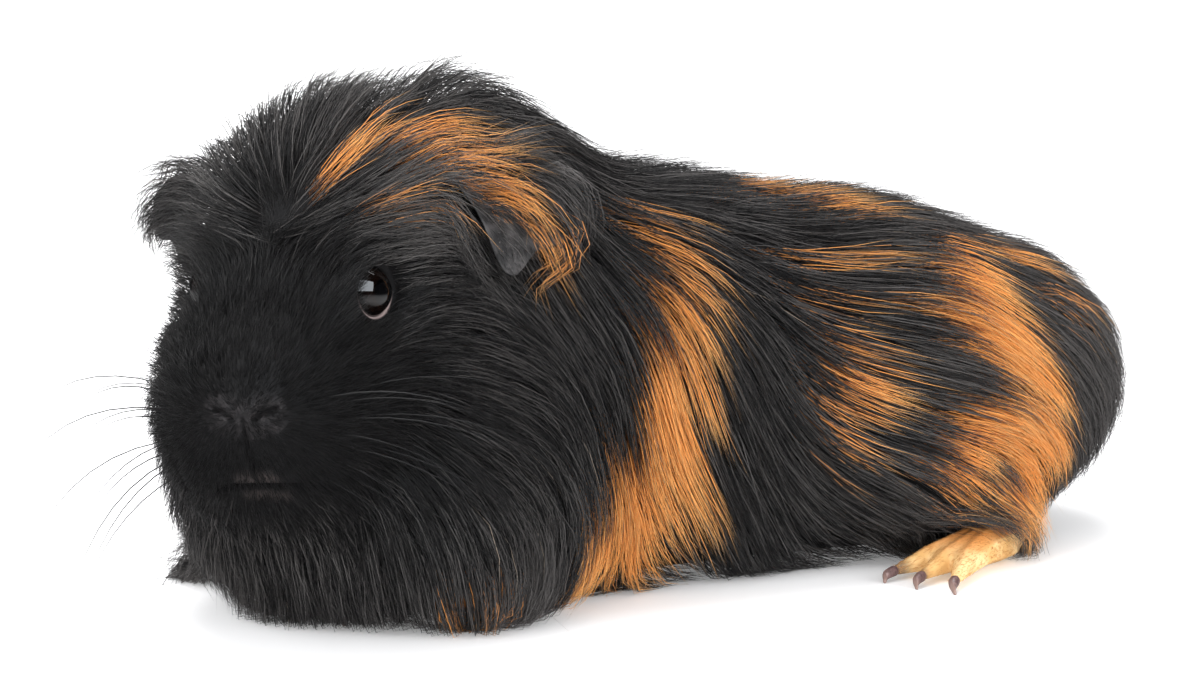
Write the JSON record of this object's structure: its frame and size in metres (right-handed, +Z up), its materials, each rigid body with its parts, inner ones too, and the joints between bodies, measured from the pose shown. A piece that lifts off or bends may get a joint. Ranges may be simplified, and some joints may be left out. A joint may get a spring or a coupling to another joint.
{
  "type": "guinea pig",
  "caption": "Still, life-size long-haired crested guinea pig in black and ginger, lying at rest with its head turned to its left.",
  "frame": {"origin": "on the floor, at the middle of the footprint of the animal's box", "axes": "+Z up, +X the way the trunk faces, +Y the animal's left; the head is turned about 46 degrees from +X towards +Y"},
  "size_m": [0.2666, 0.1434, 0.1127],
  "materials": {
    "coat": "long soft black fur with ginger patches, satin sheen",
    "foot_coat": "short flat golden fur",
    "bare_skin": "thin dark grey skin with fine down",
    "eyeball": "wet gloss",
    "claw": "translucent brown horn"
  },
  "bodies": {
    "root": {"eye_left": "eyeball", "ear_left": "bare_skin", "foot_fore_left": "foot_coat", "leg_fore_left": "coat", "claw_fore_left_1": "claw", "claw_fore_left_2": "claw", "claw_fore_left_3": "claw", "claw_fore_left_4": "claw", "foot_hind_left": "foot_coat", "leg_hind_left": "coat", "claw_hind_left_1": "claw", "claw_hind_left_2": "claw", "claw_hind_left_3": "claw", "eye_right": "eyeball", "ear_right": "bare_skin", "foot_fore_right": "foot_coat", "leg_fore_right": "coat", "claw_fore_right_1": "claw", "claw_fore_right_2": "claw", "claw_fore_right_3": "claw", "claw_fore_right_4": "claw", "foot_hind_right": "foot_coat", "leg_hind_right": "coat", "claw_hind_right_1": "claw", "claw_hind_right_2": "claw", "claw_hind_right_3": "claw", "head": "coat", "neck": "coat", "trunk": "coat", "rump": "coat"}
  },
  "joints": []
}
